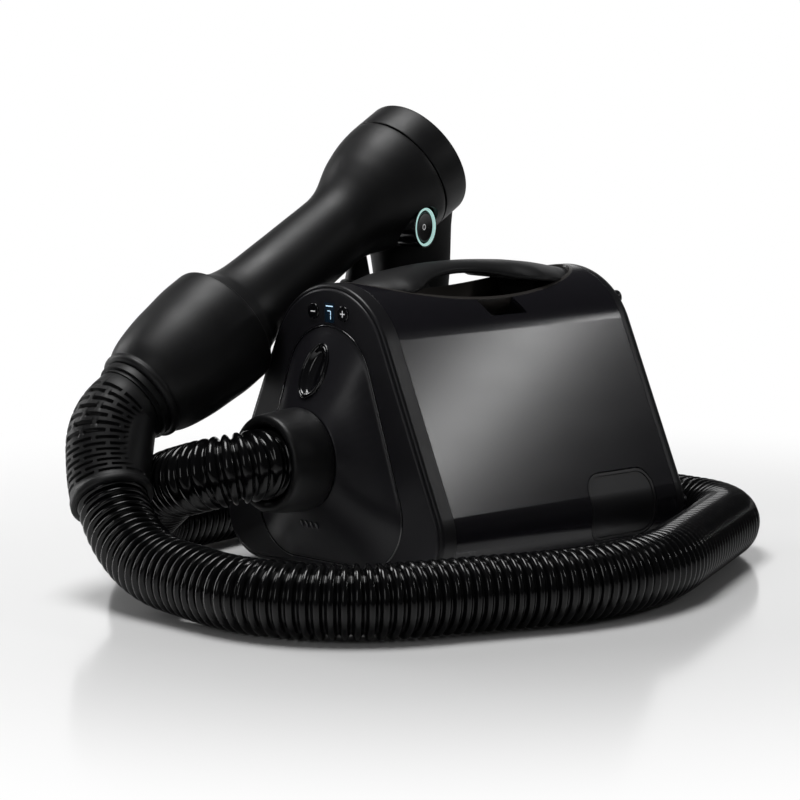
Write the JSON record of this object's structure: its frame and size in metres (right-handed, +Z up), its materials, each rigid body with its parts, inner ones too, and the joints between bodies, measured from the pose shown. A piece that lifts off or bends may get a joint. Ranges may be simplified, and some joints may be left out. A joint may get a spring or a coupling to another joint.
{
  "type": "pet dryer",
  "caption": "Canister hair dryer for pets: a soft-triangle motor base with a carrying bow, a docked wand with a wide intake and a looped corrugated hose.",
  "frame": {"origin": "centre of the base unit footprint, on the floor plane that the feet stand on", "axes": "+Z up, -Y the face with the display and the hose port, -X the side that carries the docked wand"},
  "size_m": [0.4564, 0.5172, 0.3286],
  "materials": {
    "graphite_shell": "satin graphite plastic",
    "panel_black": "fine-textured satin black plastic",
    "soft_touch_black": "soft-touch matte black coating",
    "gloss_black": "gloss black plastic",
    "flexible_black": "matt flexible black",
    "display_glass": "tinted display window",
    "lamp_lens": "translucent lamp lenses",
    "lit_ring": "lit mint light ring",
    "inner_grey": "moulded grey plastic",
    "steel": "plain steel",
    "laminated_core": "laminated iron core with windings",
    "board_green": "circuit board laminate",
    "brass_pins": "plated contact pins",
    "filter_media": "pleated filter paper and open foam",
    "heater_mica": "mica and ceramic heater former"
  },
  "bodies": {
    "base": {"side_shell": "graphite_shell", "front_band": "graphite_shell", "rear_cap": "graphite_shell", "front_bezel": "panel_black", "front_panel": "panel_black", "carry_handle": "soft_touch_black", "handle_scoop": "soft_touch_black", "dock_arm": "soft_touch_black", "hose_lower": "gloss_black", "dock_socket_left": "gloss_black", "dock_socket_right": "gloss_black", "rubber_feet": "flexible_black", "motor_grommets": "flexible_black", "port_seal": "flexible_black", "display_window": "display_glass", "display_module": "display_glass", "indicator_lenses": "lamp_lens", "port_socket": "inner_grey", "inlet_duct": "inner_grey", "fan_housing": "inner_grey", "motor_cradle": "inner_grey", "latch_bracket": "inner_grey", "filter_frame": "inner_grey", "base_plate": "inner_grey", "mains_inlet": "inner_grey", "rear_screws": "steel", "base_screws": "steel", "latch_spring": "steel", "motor_bearings": "steel", "motor_can": "steel", "motor_stator": "laminated_core", "control_board": "board_green", "power_board": "board_green", "inlet_pins": "brass_pins", "exhaust_foam": "filter_media"},
    "minus_button": {"minus_button": "gloss_black"},
    "plus_button": {"plus_button": "gloss_black"},
    "release_button": {"release_button": "gloss_black"},
    "latch_pawl": {"latch_pawl": "inner_grey"},
    "filter_unit": {"filter_cover": "graphite_shell", "filter_cartridge": "filter_media"},
    "fan_rotor": {"impeller": "inner_grey", "motor_shaft": "steel", "motor_rotor": "laminated_core"},
    "hose_cuff": {"hose_cuff": "gloss_black"},
    "wand": {"wand_shell": "soft_touch_black", "wand_boot": "soft_touch_black", "intake_funnel": "inner_grey", "hair_tube": "inner_grey", "heater_ring": "heater_mica", "wand_grip": "soft_touch_black", "grip_cap": "soft_touch_black", "switch_housing": "gloss_black", "switch_light_ring": "lit_ring", "strain_relief": "flexible_black", "hose_upper": "gloss_black"},
    "swivel_ring": {"swivel_ring": "gloss_black"},
    "wand_collar": {"wand_collar": "gloss_black"},
    "wand_switch": {"wand_switch": "gloss_black"}
  },
  "joints": [
    {"name": "minus_press", "type": "slide", "parent": "base", "child": "minus_button", "axis": [0, 1, 0], "range_m": [0, 0.0012]},
    {"name": "plus_press", "type": "slide", "parent": "base", "child": "plus_button", "axis": [0, 1, 0], "range_m": [0, 0.0012]},
    {"name": "release_press", "type": "slide", "parent": "base", "child": "release_button", "axis": [0, 0.9035, -0.4287], "range_m": [0, 0.004]},
    {"name": "pawl_lift", "type": "slide", "parent": "base", "child": "latch_pawl", "axis": [0, 0, 1], "range_m": [0, 0.0035], "deforming": ["latch_spring"]},
    {"name": "filter_pull", "type": "slide", "parent": "base", "child": "filter_unit", "axis": [1, 0, 0], "range_m": [0, 0.022]},
    {"name": "fan_spin", "type": "hinge", "parent": "base", "child": "fan_rotor", "pos_m": [0, -0.036, 0.089], "axis": [0, 1, 0], "continuous": true},
    {"name": "cuff_swivel", "type": "hinge", "parent": "base", "child": "hose_cuff", "pos_m": [0, -0.17, 0.089], "axis": [0, 1, 0], "continuous": true},
    {"name": "wand_lift", "type": "slide", "parent": "base", "child": "wand", "axis": [0, 0, 1], "range_m": [0, 0.12]},
    {"name": "hose_swivel", "type": "hinge", "parent": "wand", "child": "swivel_ring", "pos_m": [-0.085, -0.23203, 0.13018], "axis": [0, 0.8634, 0.5045], "continuous": true},
    {"name": "collar_twist", "type": "hinge", "parent": "wand", "child": "wand_collar", "pos_m": [-0.085, 0.02871, 0.28255], "axis": [0, 0.8634, 0.5045], "range_deg": [0, 30]},
    {"name": "switch_rock", "type": "hinge", "parent": "wand", "child": "wand_switch", "pos_m": [-0.0479, 0.00852, 0.2405], "axis": [0.134, -0.5, 0.8556], "range_deg": [-8, 8]}
  ],
  "couplings": [
    {"joint": "pawl_lift", "follows": "release_press", "ratio": 0.875}
  ]
}
